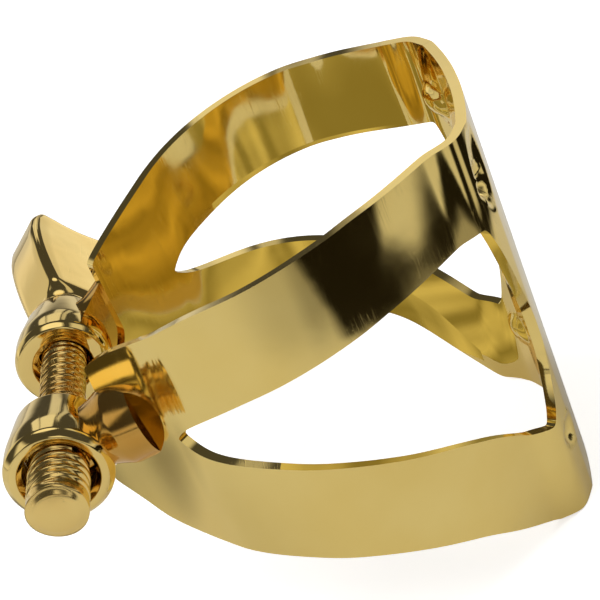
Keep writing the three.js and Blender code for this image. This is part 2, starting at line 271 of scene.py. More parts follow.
class Graph:
    """Short names for adding nodes to a tree."""

    def __init__(self, tree):
        self.tree = tree

    def link(self, a, b):
        self.tree.links.new(a, b)

    def math(self, operation, a, b=0.0, clamp=False):
        made = node(self.tree, "ShaderNodeMath", operation=operation, use_clamp=clamp)
        for socket, value in zip(made.inputs, (a, b)):
            if isinstance(value, (int, float)):
                socket.default_value = value
            else:
                self.link(value, socket)
        return made.outputs[0]


class MaterialGraph(Graph):
    """The tree of a new material, with patterns that lie in the object's own space."""

    def __init__(self, name):
        self.material = bpy.data.materials.new(name)
        self.material.use_nodes = True
        super().__init__(self.material.node_tree)
        self.shader = self.tree.nodes["Principled BSDF"]
        self.space = node(self.tree, "ShaderNodeTexCoord").outputs["Object"]

    def set(self, **values):
        """Sets inputs of the shader, with _ for a space in their names."""
        for name, value in values.items():
            self.shader.inputs[name.replace("_", " ")].default_value = value

    def noise(self, scale, detail=3.0, stretch=(1, 1, 1), turn=(0, 0, 0), roughness=0.5):
        mapping = node(self.tree, "ShaderNodeMapping")
        mapping.inputs["Scale"].default_value = stretch
        mapping.inputs["Rotation"].default_value = [math.radians(a) for a in turn]
        self.link(self.space, mapping.inputs["Vector"])
        made = node(self.tree, "ShaderNodeTexNoise", Scale=scale, Detail=detail)
        made.inputs["Roughness"].default_value = roughness
        self.link(mapping.outputs[0], made.inputs["Vector"])
        return made.outputs["Fac"]

    def ramp(self, value, *stops):
        """Greys or colours at (position, colour) stops, two or more."""
        made = node(self.tree, "ShaderNodeValToRGB")
        ramp = made.color_ramp
        while len(ramp.elements) < len(stops):
            ramp.elements.new(0.5)
        for element, (position, colour) in zip(ramp.elements, stops):
            element.position = position
            if isinstance(colour, (int, float)):
                colour = (colour, colour, colour)
            element.color = (*colour, 1)
        self.link(value, made.inputs[0])
        return made.outputs["Color"]

    def hairlines(self, turn, fine, width=0.012):
        """Thin straight lines in one direction, patchy along their length."""
        lines = self.noise(fine, 1.0, stretch=(1, 0.03, 0.03), turn=turn)
        away = self.math("ABSOLUTE", self.math("SUBTRACT", lines, 0.5))
        line = self.ramp(away, (0.0, 1.0), (width, 0.0))
        patch = self.ramp(self.noise(260, 2.0), (0.5, 0.0), (0.62, 1.0))
        return self.math("MULTIPLY", line, patch)

    def mix(self, amount, a, b):
        made = node(self.tree, "ShaderNodeMix", data_type="RGBA")
        for socket, value in zip((made.inputs[0], made.inputs[6], made.inputs[7]), (amount, a, b)):
            if isinstance(value, tuple):
                socket.default_value = (*value, 1)
            elif isinstance(value, float):
                socket.default_value = value
            else:
                self.link(value, socket)
        return made.outputs[2]


def gold(name, light, deep, smooth_roughness, worn_roughness, waviness=0.02, scratches=0.05):
    """Polished gold plate: slow colour drift, fingerprint haze, hairline scratches, faint waves.

    Scales of noise are per metre, and the stops of a ramp turn it into patches.
    """
    g = MaterialGraph(name)
    g.set(Metallic=1.0)
    drift = g.ramp(g.noise(150, 3.0), (0.35, 0.0), (0.7, 1.0))
    g.link(g.mix(drift, light, deep), g.shader.inputs["Base Color"])
    haze = g.ramp(g.noise(190, 5.0, roughness=0.62), (0.45, 0.0), (0.75, 1.0))
    specks = g.ramp(g.noise(5200, 1.0), (0.68, 0.0), (0.78, 1.0))
    lines = g.math("MAXIMUM", g.hairlines((0, 0, 35), 2600), g.hairlines((70, 20, 110), 3400))
    wear = g.math("ADD", g.math("MULTIPLY", haze, 0.55), g.math("MULTIPLY", lines, 0.8))
    wear = g.math("ADD", wear, g.math("MULTIPLY", specks, 0.25), clamp=True)
    span = worn_roughness - smooth_roughness
    roughness = g.math("ADD", g.math("MULTIPLY", wear, span), smooth_roughness)
    g.link(roughness, g.shader.inputs["Roughness"])
    wavy = node(g.tree, "ShaderNodeBump", Strength=waviness, Distance=0.001)
    g.link(g.noise(330, 2.0), wavy.inputs["Height"])
    fine = node(g.tree, "ShaderNodeBump", Strength=scratches, Distance=0.00005, invert=True)
    g.link(g.math("ADD", lines, g.math("MULTIPLY", specks, 0.3)), fine.inputs["Height"])
    g.link(wavy.outputs[0], fine.inputs["Normal"])
    g.link(fine.outputs[0], g.shader.inputs["Normal"])
    return g.material


SHEET_GOLD = gold("gold_sheet", (0.93, 0.71, 0.25), (0.89, 0.66, 0.21), 0.05, 0.17,
                  waviness=0.008, scratches=0.015)
HARDWARE_GOLD = gold("gold_hardware", (0.93, 0.70, 0.26), (0.87, 0.62, 0.20), 0.04, 0.16,
                     scratches=0.03)
# The feet get a deep amber gold that paints the shade and dark reflections on them.
FOOT_GOLD_PAINTED_SHADE = gold("gold_foot_painted_shade", (0.78, 0.50, 0.13), (0.60, 0.31, 0.06), 0.07, 0.22,
                 scratches=0.03)
# The thread's deeper, more orange gold is painted shade and interreflection in its grooves.
THREAD_GOLD_PAINTED_SHADE = gold("gold_thread_painted_shade", (0.93, 0.68, 0.24), (0.84, 0.53, 0.16), 0.13, 0.34,
                   waviness=0.05, scratches=0.3)


def finish(obj, material, body=None):
    """Gives a piece its material, its slot and, unless it blends, its body."""
    obj.data.materials.clear()
    obj.data.materials.append(material)
    if body:
        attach(obj, body)


# ---------------------------------------------------------------- band

def curve(points, u):
    """Value at u of a smooth curve through points (u, v), held level past its ends."""
    last = len(points) - 1
    at = min(max(u, points[0][0]), points[last][0])
    i = 0
    while i < last - 1 and at > points[i + 1][0]:
        i += 1

    def slope(k):
        a, b = points[max(k - 1, 0)], points[min(k + 1, last)]
        return (b[1] - a[1]) / (b[0] - a[0])

    (u0, v0), (u1, v1) = points[i], points[i + 1]
    h = u1 - u0
    t = (at - u0) / h
    rise = (v1 - v0) * (3 * t * t - 2 * t ** 3)
    swing = slope(i) * t * (1 - t) ** 2 - slope(i + 1) * t * t * (1 - t)
    return v0 + rise + h * swing


def arch_x(y):
    """The arched plate's x at y."""
    return PLATE_X - PLATE_ARCH * (y / PLATE_HALF) ** 2


def strip_column(x):
    """An upright row of the tab and strips: its place, its taper and its four edge heights."""
    in_window = max(x, FORK_X)
    fade = 1 - ramp(x, TAPER_FULL_X, TAPER_END_X)
    low, high = curve(EDGE_WINDOW_LOW, in_window), curve(EDGE_WINDOW_TOP, in_window)
    # The window ends in a round tip at the fork.
    ahead = min((in_window - FORK_X) / FORK_ROUND, 1)
    half = (high - low) / 2 * max(math.sqrt(ahead * (2 - ahead)), 0.04)
    middle = (low + high) / 2
    return {"x": x, "y": curve(PLAN, x), "taper": TAPER * fade,
            "z": (curve(EDGE_LOW, x), middle - half, middle + half, curve(EDGE_TOP, x)),
            "open": x > FORK_X - 1e-6}


def plate_column(x, y):
    """An upright row of the plate, whose window closes in a round end toward its middle."""
    # From 0 at bend B to 1 where the window ends.
    u = ramp(-y, -BEND_B[1], -WINDOW_END_Y)
    half = max(PLATE_WINDOW * (1 - u ** 1.2) ** 0.77, 0.06)
    middle = PLATE_WINDOW_Z - WINDOW_END_DROP * u
    return {"x": x, "y": y, "taper": 0, "z": (PLATE_LOW, middle - half, middle + half, PLATE_TOP),
            "open": u < 1}


def between(a, b, t):
    """A column part of the way from a to b."""
    return {"x": a["x"] + (b["x"] - a["x"]) * t, "y": a["y"] + (b["y"] - a["y"]) * t,
            "taper": a["taper"] * (1 - t) + b["taper"] * t,
            "z": tuple(p + (q - p) * t for p, q in zip(a["z"], b["z"])), "open": a["open"]}


def soften_bend(columns, corner, reach):
    """Moves the columns within reach of a corner onto a curve that rounds it."""
    at = Vector((columns[corner]["x"], columns[corner]["y"]))
    before = Vector((columns[corner - 1]["x"], columns[corner - 1]["y"]))
    after = Vector((columns[corner + 1]["x"], columns[corner + 1]["y"]))
    start = at + (before - at).normalized() * reach
    end = at + (after - at).normalized() * reach
    moved = {}
    for k, column in enumerate(columns):
        away = (Vector((column["x"], column["y"])) - at).length
        if away < reach:
            t = 0.5 + 0.5 * away / reach * (1 if k > corner else -1)
            moved[k] = start * (1 - t) ** 2 + at * 2 * t * (1 - t) + end * t * t
    for k, spot in moved.items():
        columns[k]["x"], columns[k]["y"] = spot


def half_columns():
    """Columns of one half of the band, from the tab to the middle of the plate."""
    made = [strip_column(x) for x in np.arange(TAB_X, FORK_X - 0.3, TAB_STEP)]
    made += [strip_column(FORK_X + step) for step in FORK_STEPS]
    made += [strip_column(x) for x in np.arange(FORK_X + 1.3, BEND_A[0] - 0.9, STRIP_STEP)]
    made += [strip_column(BEND_A[0] - back) for back in (0.5, 0.25, 0)]
    corner_a = len(made) - 1
    bend_a, bend_b = made[-1], plate_column(*BEND_B)
    made += [between(bend_a, bend_b, t) for t in BEND_PARTS]
    corner_b = len(made)
    made.append(bend_b)
    for u in WINDOW_END_PARTS:
        y = BEND_B[1] - u * (BEND_B[1] - WINDOW_END_Y)
        if y > PLATE_HALF:
            facet = (BEND_B[1] - y) / (BEND_B[1] - PLATE_HALF)
            x = BEND_B[0] + (arch_x(PLATE_HALF) - BEND_B[0]) * facet
        else:
            x = arch_x(y)
        made.append(plate_column(x, y))
    soften_bend(made, corner_b, BEND_ROUND_B)
    soften_bend(made, corner_a, BEND_ROUND_A)
    made += [plate_column(arch_x(y), y) for y in PLATE_YS]
    return made


def plan_at(column, z):
    """A column's x and y at a height, where the cone of the mouthpiece spreads it."""
    return column["x"], column["y"] * (1 + column["taper"] * (TAPER_Z - z))


def band_columns():
    """Columns of the whole band, from the front tab round the plate to the back tab."""
    front = half_columns()
    back = [dict(c) for c in reversed(front)]
    for c in front:
        c["y"] = -c["y"]
    return front + back


def heights(column):
    """Heights of a column's points, from the low edge past the window to the top edge."""
    z = column["z"]
    made = []
    for k, rows in enumerate(ROW_SPANS):
        made += [z[k] + (z[k + 1] - z[k]) * r / rows for r in range(rows)]
    return made + [z[3]]


def band_grid():
    """Middle surface of the band: quads between columns, with the window left out."""
    columns = band_columns()
    levels = [heights(column) for column in columns]
    points, index, faces = [], {}, []

    def vertex(i, j):
        if (i, j) not in index:
            index[i, j] = len(points)
            z = levels[i][j]
            points.append(place(*plan_at(columns[i], z), z))
        return index[i, j]

    for i in range(len(columns) - 1):
        is_open = columns[i]["open"] and columns[i + 1]["open"]
        for j in range(sum(ROW_SPANS)):
            if is_open and STRIP_ROWS <= j < STRIP_ROWS + WINDOW_ROWS:
                continue
            faces.append((vertex(i, j), vertex(i + 1, j), vertex(i + 1, j + 1), vertex(i, j + 1)))

    # The low corner that each tab has below its barrel.
    notch = FRONT_BARREL["wide"] + TAB_CORNER_ROOM
    for end, side in ((0, -1), (len(columns) - 1, 1)):
        previous = [vertex(end, j) for j in range(TAB_CORNER_ROWS + 1)]
        for step in (0.2, 0.45, 0.72, 1.0):
            x = TAB_X + (TAB_CORNER_X - TAB_X) * step
            low = curve(EDGE_LOW, x)
            top = SCREW_Z - math.sqrt(notch ** 2 - (x - SCREW_X) ** 2)
            column = {"x": x, "y": side * curve(PLAN, x), "taper": TAPER}
            following = []
            for j in range(TAB_CORNER_ROWS + 1):
                z = low + (top - low) * j / TAB_CORNER_ROWS
                following.append(len(points))
                points.append(place(*plan_at(column, z), z))
            for j in range(TAB_CORNER_ROWS):
                quad = (following[j], previous[j], previous[j + 1], following[j + 1])
                faces.append(quad if side < 0 else tuple(reversed(quad)))
            previous = following
    return points, faces


def strike_dimples(obj):
    """Pushes the plate inward at the reed contacts and in the dish around the upper ones."""
    for v in obj.data.vertices:
        p = (v.co - ORIGIN) / MM
        if p.x < BEND_B[0] - 0.3:
            continue
        for y, z in DIMPLES:
            r = math.hypot(p.y - y, p.z - z) / DIMPLE_R
            if r < 1:
                v.co.x -= DIMPLE_SINK * MM * (1 - r * r) ** DIMPLE_POWER
        r = math.hypot((abs(p.y) - DISH_Y) / DISH_HALF_Y, (p.z - DISH_Z) / DISH_HALF_Z)
        if r < 1:
            v.co.x -= DISH_SINK * MM * (1 - r * r)


def make_band():
    """One sheet, rounded at its edges."""
    obj = mesh_object("band_sheet", *band_grid())
    smooth = obj.modifiers.new("round", "SUBSURF")
    smooth.levels = smooth.render_levels = 2
    smooth.boundary_smooth = "ALL"
    apply_modifiers(obj)
    strike_dimples(obj)
    solid = obj.modifiers.new("sheet", "SOLIDIFY")
    solid.thickness = SHEET * MM
    solid.offset = 0
    solid.use_even_offset = True
    bevel = obj.modifiers.new("bevel", "BEVEL")
    bevel.width = EDGE_RADIUS * MM
    bevel.segments = 5
    bevel.limit_method = "ANGLE"
    bevel.angle_limit = math.radians(50)
    bevel.harden_normals = True
    apply_modifiers(obj)
    obj.data.shade_smooth()
    finish(obj, SHEET_GOLD)
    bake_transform(obj)
    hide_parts("band_reed_plate_and_back_arm", "band_front_arm")


# ---------------------------------------------------------------- posts

def barrel_outline(b, bore, thread):
    """Outline of a barrel: bore, flat near face, chamfer and a long taper to the far face."""
    near, far = b["near"], b["far"]
    corners = [(bore + 0.28, near), (b["face"], near), (b["wide"], near + CHAMFER),
               (b["wide"], near + 4 * CHAMFER), (b["narrow"] + RIM / 2, far - RIM),
               (b["narrow"] - RIM / 2, far), (bore + 0.2, far)]
    outline = rounded(corners, [0.1, 0.12, 0.16, 0.5, 0.2, 0.12, 0.1])
    if not thread:
        return outline + [(bore, far - 0.25), (bore, near + 0.3)]
    ridges = []
    y = far - 0.35
    while y > near + 0.35:
        ridges += [(bore + 0.16, y), (bore + 0.02, y - 0.3 * PITCH), (bore, y - 0.45 * PITCH),
                   (bore + 0.02, y - 0.6 * PITCH)]
        y -= PITCH
    return outline + ridges


def make_barrel(name, b, bore, thread, body, replaced):
    """A turned post barrel, with or without thread ridges in its bore."""
    obj = lathe(name, barrel_outline(b, bore, thread), 128)
    weigh = obj.modifiers.new("weighted", "WEIGHTED_NORMAL")
    weigh.keep_sharp = True
    apply_modifiers(obj)
    finish(obj, HARDWARE_GOLD, body)
    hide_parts(replaced)


def wall(name, columns, z_list, inner, outer):
    """Closed block between two offsets from the middle of the sheet, for cutting a foot to it."""
    points, faces = [], []
    n, m = len(columns), len(z_list)
    for offset in (inner, outer):
        for i, c in enumerate(columns):
            for z in z_list:
                here = Vector(plan_at(c, z))
                before = Vector(plan_at(columns[max(i - 1, 0)], z))
                after = Vector(plan_at(columns[min(i + 1, n - 1)], z))
                along = (after - before).normalized()
                points.append(place(here.x + along.y * offset, here.y - along.x * offset, z))
    half = n * m

    def side(loop, flip):
        faces.append(tuple(reversed(loop)) if flip else loop)

    for i in range(n - 1):
        for j in range(m - 1):
            a, b, c, d = i * m + j, (i + 1) * m + j, (i + 1) * m + j + 1, i * m + j + 1
            faces.append((half + a, half + b, half + c, half + d))
            faces.append((b, a, d, c))
        for j in (0, m - 1):
            a, b = i * m + j, (i + 1) * m + j
            side((a, b, half + b, half + a), j > 0)
    for i in (0, n - 1):
        for j in range(m - 1):
            a, d = i * m + j, i * m + j + 1
            side((half + a, half + d, d, a), i > 0)
    return mesh_object(name, points, faces)


def foot_blank(name, start, target):
    """A round stalk from start to target with a flared, domed saddle around its start."""
    along = (target - start).normalized()
    across = along.cross(Vector((0, 0, 1))).normalized()
    up = across.cross(along)
    sections = [(-FOOT_SINK, SADDLE_R + 0.1), (SADDLE_START - 0.2, SADDLE_R + 0.05)]
    for k in range(9):
        bow = math.sin(k / 8 * math.pi / 2)
        radius = STALK_R + (SADDLE_R - STALK_R) * (1 - bow) ** SADDLE_POWER
        sections.append((SADDLE_START + SADDLE_RISE * bow, radius))
    sections.append(((target - start).length, STALK_R))
    steps = 64
    points = []
    for distance, radius in sections:
        for i in range(steps):
            turn = 2 * math.pi * i / steps
            around = across * math.cos(turn) + up * math.sin(turn)
            points.append(place(*(start + along * distance + around * radius)))
    faces = tube_faces(len(sections), steps)
    last = (len(sections) - 1) * steps
    faces.append(tuple(reversed(range(steps))))
    faces.append(tuple(range(last, last + steps)))
    return mesh_object(name, points, faces)


def tab_run(side):
    """Columns of one arm near its tab, carried on straight past the tab's end."""
    near = [dict(c, y=-c["y"]) for c in half_columns() if c["x"] < BEND_A[0] - 2]
    tab, inner = near[0], near[2]
    reach = 5
    beyond = dict(tab, x=tab["x"] + reach * (tab["x"] - inner["x"]),
                  y=tab["y"] + reach * (tab["y"] - inner["y"]))
    run = [beyond] + near
    return run if side < 0 else [dict(c, y=-c["y"]) for c in reversed(run)]


def make_foot(name, side, b, body, replaced):
    """Foot of a post: a saddle and stalk, cut to the outer side of the tab and to the barrel."""
    start = Vector((FOOT_X, side * curve(PLAN, FOOT_X), FOOT_Z))
    obj = foot_blank(name, start, Vector((SCREW_X, (b["near"] + b["far"]) / 2, SCREW_Z)))
    subtract(obj, wall("cut_sheet", tab_run(side), CUT_ZS, -CUT_INSIDE, CUT_OUTSIDE))
    near, far = b["near"], b["far"]
    core = [(0, near - 0.35), (b["face"], near - 0.35), (b["wide"] - 0.25, near + 0.6),
            (b["wide"] - 0.25, near + 1.8), (b["narrow"] - 0.2, far + 0.02), (0, far + 0.02)]
    subtract(obj, lathe("cut_barrel", core, 96, closed=False))
    keep_largest(obj)
    obj.data.shade_smooth()
    obj.data.set_sharp_from_angle(angle=math.radians(40))
    # The deep amber gold of the feet is painted shade and reflection.
    finish(obj, FOOT_GOLD_PAINTED_SHADE, body)
    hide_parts(replaced)


def keep_largest(obj):
    """Deletes every loose piece of the mesh but the one with the most vertices."""
    mesh = obj.data
    links = {}
    for edge in mesh.edges:
        a, b = edge.vertices
        links.setdefault(a, []).append(b)
        links.setdefault(b, []).append(a)
    left = set(range(len(mesh.vertices)))
    best = set()
    while left:
        stack = [left.pop()]
        found = set(stack)
        while stack:
            for other in links.get(stack.pop(), ()):
                if other in left:
                    left.remove(other)
                    found.add(other)
                    stack.append(other)
        if len(found) > len(best):
            best = found
    order = {v: k for k, v in enumerate(sorted(best))}
    points = [mesh.vertices[v].co.copy() for v in sorted(best)]
    faces = [tuple(order[v] for v in f.vertices) for f in mesh.polygons if f.vertices[0] in best]
    obj.data = bpy.data.meshes.new(obj.name)
    obj.data.from_pydata(points, [], faces)
    obj.data.validate()


# ---------------------------------------------------------------- screw

def thread_ring(y, end, steps):
    """Radii of the shank around its axis at y: crest, worn flats and a right-hand groove."""
    crest = THREAD_R + (SHANK_R - THREAD_R) * ramp(y, THREAD_END_Y - 0.5, THREAD_END_Y + 0.5)
    fade = ramp(y, *TIP_FADE) * (1 - ramp(y, end - END_FADE[0], end - END_FADE[1]))
    ring = []
    for i in range(steps):
        turn = 2 * math.pi * i / steps
        phase = (y / PITCH - turn / (2 * math.pi)) % 1
        groove = smooth_step(GROOVE_OPEN - abs(phase - 0.5) * GROOVE_STEEP, 0, 1)
        worn = WEAR * (1 + math.sin(3 * turn + y * WEAR_TWIST)) * (1 - 0.5 * fade)
        ring.append(crest - worn - THREAD_DEPTH * GROOVE_DEEPER * groove * fade)
    return ring


def make_shank():
    """Helical right-hand thread, thicker at its worn, domed front end than between the posts."""
    steps, per_pitch, dome_steps = 80, 12, 8
    end = COLLAR_Y + 0.1
    rows = int((end - TIP_Y) / PITCH * per_pitch)
    # A shallow dome, then a worn chamfer up to the first ridge, as (radius, y).
    edge = THREAD_R - 0.08
    lip = edge - 0.5
    dome = [(lip * k / dome_steps, TIP_Y - TIP_DOME * (1 - 0.35 * (k / dome_steps) ** 2))
            for k in range(1, dome_steps + 1)]
    dome += [(lip + 0.08, TIP_Y - 0.19), (lip + 0.25, TIP_Y - 0.07), (edge - 0.1, TIP_Y - 0.01)]
    rings = [([radius] * steps, y) for radius, y in dome]
    for k in range(rows + 1):
        y = TIP_Y + (end - TIP_Y) * k / rows
        rings.append((thread_ring(y, end, steps), y))
    points = []
    for ring, y in rings:
        for i, radius in enumerate(ring):
            turn = 2 * math.pi * i / steps
            points.append(at_screw(radius * math.sin(turn), y, radius * math.cos(turn)))
    faces = tube_faces(len(rings), steps, flip=True)
    points.append(at_screw(0, TIP_Y - TIP_DOME, 0))
    faces += [(len(points) - 1, i, (i + 1) % steps) for i in range(steps)]
    last = (len(rings) - 1) * steps
    faces.append(tuple(reversed(range(last, last + steps))))
    obj = mesh_object("screw_threaded_shank", points, faces)
    finish(obj, THREAD_GOLD_PAINTED_SHADE, "thumb_screw")
    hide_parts("thumb_screw_shank")


def make_collar():
    """Flat disc at the back barrel with a rounded rim."""
    bottom, top = COLLAR_Y, COLLAR_Y + 0.66
    corners = [(0.02, bottom), (COLLAR_R - 0.08, bottom), (COLLAR_R, bottom + 0.25),
               (COLLAR_R - 0.12, top - 0.04), (NECK_R - 0.15, top), (0.02, top)]
    obj = lathe("screw_collar", rounded(corners, [0, 0.12, 0.16, 0.14, 0.05, 0]), 112)
    finish(obj, HARDWARE_GOLD, "thumb_screw")
    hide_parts("thumb_screw_collar")


def round_off(t):
    """How far a quarter circle of radius 1 has turned away at t, from 0 to 1."""
    return 1 - math.sqrt(1 - t * t)


def wing_section(y):
    """Half width, half thickness and corner radius of the thumb head at y."""
    spread = ramp(y, *WING_SPREAD)
    half = NECK_R + (WING_HALF - NECK_R) * (1 - (1 - spread) ** WING_FLARE)
    fillet = smooth_step(y, *WING_FILLET)
    thick = NECK_R + (WING_THICK / 2 - NECK_R) * fillet
    corner = NECK_R + (WING_ROUND - NECK_R) * fillet
    half -= WING_CORNER * round_off(ramp(y, WING_TIP_START, WING_TIP_Y))
    t = ramp(y, WING_TIP_Y - WING_ROUND, WING_TIP_Y)
    if t > 0:
        thick -= WING_ROUND * round_off(t)
        corner = max(WING_ROUND * (1 - 0.7 * t), 0.12)
    return half, thick, corner


def wing_ring(y):
    """Points (x, z) around the thumb head's section at y, a rectangle with round corners."""
    side_steps, arc_steps = 8, 6
    half, thick, corner = wing_section(y)
    arcs = []
    for quarter, (sx, sz) in enumerate(((1, 1), (-1, 1), (-1, -1), (1, -1))):
        turns = [(quarter + k / arc_steps) * math.pi / 2 for k in range(arc_steps + 1)]
        arcs.append([(sx * (half - corner) + corner * math.cos(turn),
                      sz * (thick - corner) + corner * math.sin(turn)) for turn in turns])
    ring = []
    for arc, following in zip(arcs, arcs[1:] + arcs[:1]):
        ring += arc
        (x0, z0), (x1, z1) = arc[-1], following[0]
        for k in range(1, side_steps):
            t = k / side_steps
            ring.append((x0 + (x1 - x0) * t, z0 + (z1 - z0) * t))
    return ring


def make_wing():
    """Fan-shaped thumb head lofted from its round neck, with rounded edges and a dipped tip."""
    ys = list(np.linspace(COLLAR_Y + 0.5, WING_ROOT_Y - 0.2, 5))
    ys += list(np.linspace(WING_ROOT_Y, WING_ROOT_Y + 1.5, 14))
    ys += list(np.linspace(WING_ROOT_Y + 1.9, WING_TIP_START, 20))
    tip = WING_TIP_Y - WING_TIP_START
    ys += [WING_TIP_START + tip * math.sin(k / 14 * math.pi / 2) for k in range(1, 15)]
    cos, sin = math.cos(WING_TURN), math.sin(WING_TURN)
    points = []
    for y in ys:
        dip = WING_DIP * ramp(y, WING_DIP_START, WING_TIP_START)
        ring = wing_ring(y)
        for x, z in ring:
            sunk = y - dip * max(1 - (x / WING_DIP_HALF) ** 2, 0)
            points.append(at_screw(x * cos + z * sin, sunk, z * cos - x * sin))
    n = len(ring)
    faces = tube_faces(len(ys), n)
    faces.append(tuple(reversed(range(n))))
    # The tip is closed by strips across its thickness, which follow the dip.
    last = (len(ys) - 1) * n
    for k in range(n // 2):
        corners = dict.fromkeys(((n - k) % n, k, k + 1, n - 1 - k))
        faces.append(tuple(last + corner for corner in corners))
    obj = mesh_object("screw_thumb_wing", points, faces)
    finish(obj, HARDWARE_GOLD, "thumb_screw")
    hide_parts("thumb_screw_wing")


make_band()
make_barrel("post_front_barrel", FRONT_BARREL, FRONT_BORE, True, "front_arm", "front_post_barrel")
make_barrel("post_back_barrel", BACK_BARREL, BACK_BORE, False, "band", "back_post_barrel")
make_foot("post_front_foot", -1, FRONT_BARREL, "front_arm", "front_post_foot")
make_foot("post_back_foot", 1, BACK_BARREL, "band", "back_post_foot")
make_shank()
make_collar()
make_wing()


# ---------------------------------------------------------------- camera

AZIMUTH, ELEVATION, ROLL = math.radians(6.28), math.radians(29.8), math.radians(23.2)
DISTANCE, LENS, SENSOR = 0.110, 103.25, 36.0
# The view's centre, from the middle of the CAD box.
AIM_FROM_MIDDLE = Vector((3.0, -0.6, 2.05)) * MM


def make_camera():
    """The photo's camera, rolled so that the clamp leans to the lower left."""
    middle = (Vector(CAD_BOX[0]) + Vector(CAD_BOX[1])) / 2
    forward = Vector((-math.sin(AZIMUTH) * math.cos(ELEVATION),
                      math.cos(AZIMUTH) * math.cos(ELEVATION), -math.sin(ELEVATION)))
    level = Vector((math.cos(AZIMUTH), math.sin(AZIMUTH), 0))
    upright = level.cross(forward)
    right = level * math.cos(ROLL) - upright * math.sin(ROLL)
    up = right.cross(forward)
    data = bpy.data.cameras.new("camera")
    data.lens = LENS
    data.sensor_width = SENSOR
    data.clip_start = 0.005
    data.clip_end = 10
    camera = bpy.data.objects.new("camera", data)
    bpy.context.scene.collection.objects.link(camera)
    place_at = middle + AIM_FROM_MIDDLE - forward * DISTANCE
    camera.matrix_world = Matrix((
        (right.x, up.x, -forward.x, place_at.x),
        (right.y, up.y, -forward.y, place_at.y),
        (right.z, up.z, -forward.z, place_at.z),
        (0, 0, 0, 1)))
    bpy.context.scene.camera = camera


# ---------------------------------------------------------------- stage and light

FLOOR_HALF, FLOOR_LIFT = 1.2, 0.66
SKY, SKY_COLOUR = 0.36, (1.0, 0.985, 0.96, 1)
KEY_POWER, FILL_POWER = 1.15, 0.45

# Room that only mirror rays see, by height above the horizon (degrees): pale near the horizon,
# dim above it, and pale again overhead.
HORIZON, HORIZON_END = 0.7, (12, 2)
DIM = 0.07
OVERHEAD, OVERHEAD_START = 1.0, (66, 74)
# Pale panels as bearing from and to, height from and to (degrees), strength and softness of edge.
# Bearings run from +Y toward +X.
PANELS = [(-22, -13.5, 22, 42, 0.75, 1), (-12, 7, 24, 42, 0.75, 1.5), (-4, 6, 12, 24, 0.6, 1.5),
          (9, 14, 12, 32, 0.5, 1), (18, 46, 0, 17, 0.66, 2), (-75, -38, 5, 30, 0.6, 4),
          (70, 110, 30, 55, 0.6, 5), (150, 180, 20, 48, 0.8, 4), (-135, -105, 20, 45, 0.7, 4)]

# What mirror rays see on the table: bearings run from -Y toward +X (degrees), and reaches are
# distances from the ligature's middle (mm). A pair is where a soft side starts and ends.
# Near edge of the dark room as (bearing, reach), and how soft it is.
TABLE_EDGE = [(15, 66), (20, 65), (30, 63), (40, 61), (45, 58), (50, 55), (60, 52.5), (70, 50),
              (90, 48)]
EDGE_SOFT, EDGE_SOFTER, EDGE_SOFTER_FROM, EDGE_SOFTER_TO = 1.3, 2.0, (41, 46), (60, 66)
# The room is darkest to the right of a slanting line, and ends behind the reed plate.
DARK_BEARING, DARK_SLANT, DARK_SLANT_REACH = (16, 25), 0.35, 66
DARK_END = (110, 122)
# To the left the room is half dark, in two steps.
LEFT_BASE, LEFT_STEP, LEFT_STEPS, LEFT_REACH = 0.05, 0.25, ((-35, 0), (2, 14)), (60, 76)
# A brown border on the table, and two pale objects that stand in the room.
BROWN, BROWN_FROM, BROWN_TO, BROWN_REACH = 0.5, (39, 44), (58, 66), (47, 50)
PALE, PALE_SOFT, PALE_TO, PALE_REACH, PALE_END = 0.97, 3, (61, 65), (57, 60), (76, 82)
PALE_START, PALE_START_REACH, PALE_START_LEAST = 56, 61, 47
LINE, LINE_FROM, LINE_TO, LINE_REACH, LINE_END = 0.9, (72, 76), (84, 90), (54, 57), (72, 78)
# Shade of the posts on the table beside them, at bearings to the left.
POSTS, POSTS_FROM, POSTS_TO, POSTS_REACH, POSTS_END = 0.6, (70, 83), (95, 104), (18, 24), (32, 42)

# Grid of the dark card: fine near the ligature, and ever coarser beyond it.
CARD_LIFT = 0.6
CARD_BEARINGS = [-105 + 1.5 * k for k in range(154)]
CARD_REACHES = [16 + 0.8 * k for k in range(95)] + [92 * 1.12 ** k for k in range(12)]

# Glow inside the ring, from deep to pale, and where its card stands inside the band.
GLOW_DEEP, GLOW_PALE = (0.26, 0.22, 0.07), (0.66, 0.58, 0.27)
GLOW_INSET, GLOW_LIFT, GLOW_MIDDLE_X = 1.1, 0.7, 2.0
GLOW_ROWS, GLOW_FLOOR_ROWS, GLOW_FLOOR_STEP = 4, 8, 0.11
# It leaves out spots lower than this, and keeps clear of the strips' edges above and beside it.
GLOW_LEAST, GLOW_ROOM, GLOW_WINDOW_ROOM = 0.8, 0.3, 0.2
# It closes the opening between the tabs, and the windows from this x on.
GAP_HALF, GAP_TOP, GLOW_WINDOW_X = 4.5, 1.2, -1


def make_floor():
    """White table, a little brighter to the camera so that it fades into the background."""
    z = CAD_BOX[0][2] - 0.05 * MM
    corners = [(x * FLOOR_HALF, y * FLOOR_HALF, z) for x, y in ((-1, -1), (1, -1), (1, 1), (-1, 1))]
    floor = mesh_object("floor", corners, [(0, 1, 2, 3)])
    g = MaterialGraph("floor_white")
    g.set(Base_Color=(0.84, 0.84, 0.83, 1), Roughness=0.9, Specular_IOR_Level=0,
          Emission_Color=(1, 1, 1, 1))
    seen = node(g.tree, "ShaderNodeLightPath").outputs["Is Camera Ray"]
    g.link(g.math("MULTIPLY", seen, FLOOR_LIFT), g.shader.inputs["Emission Strength"])
    floor.data.materials.append(g.material)


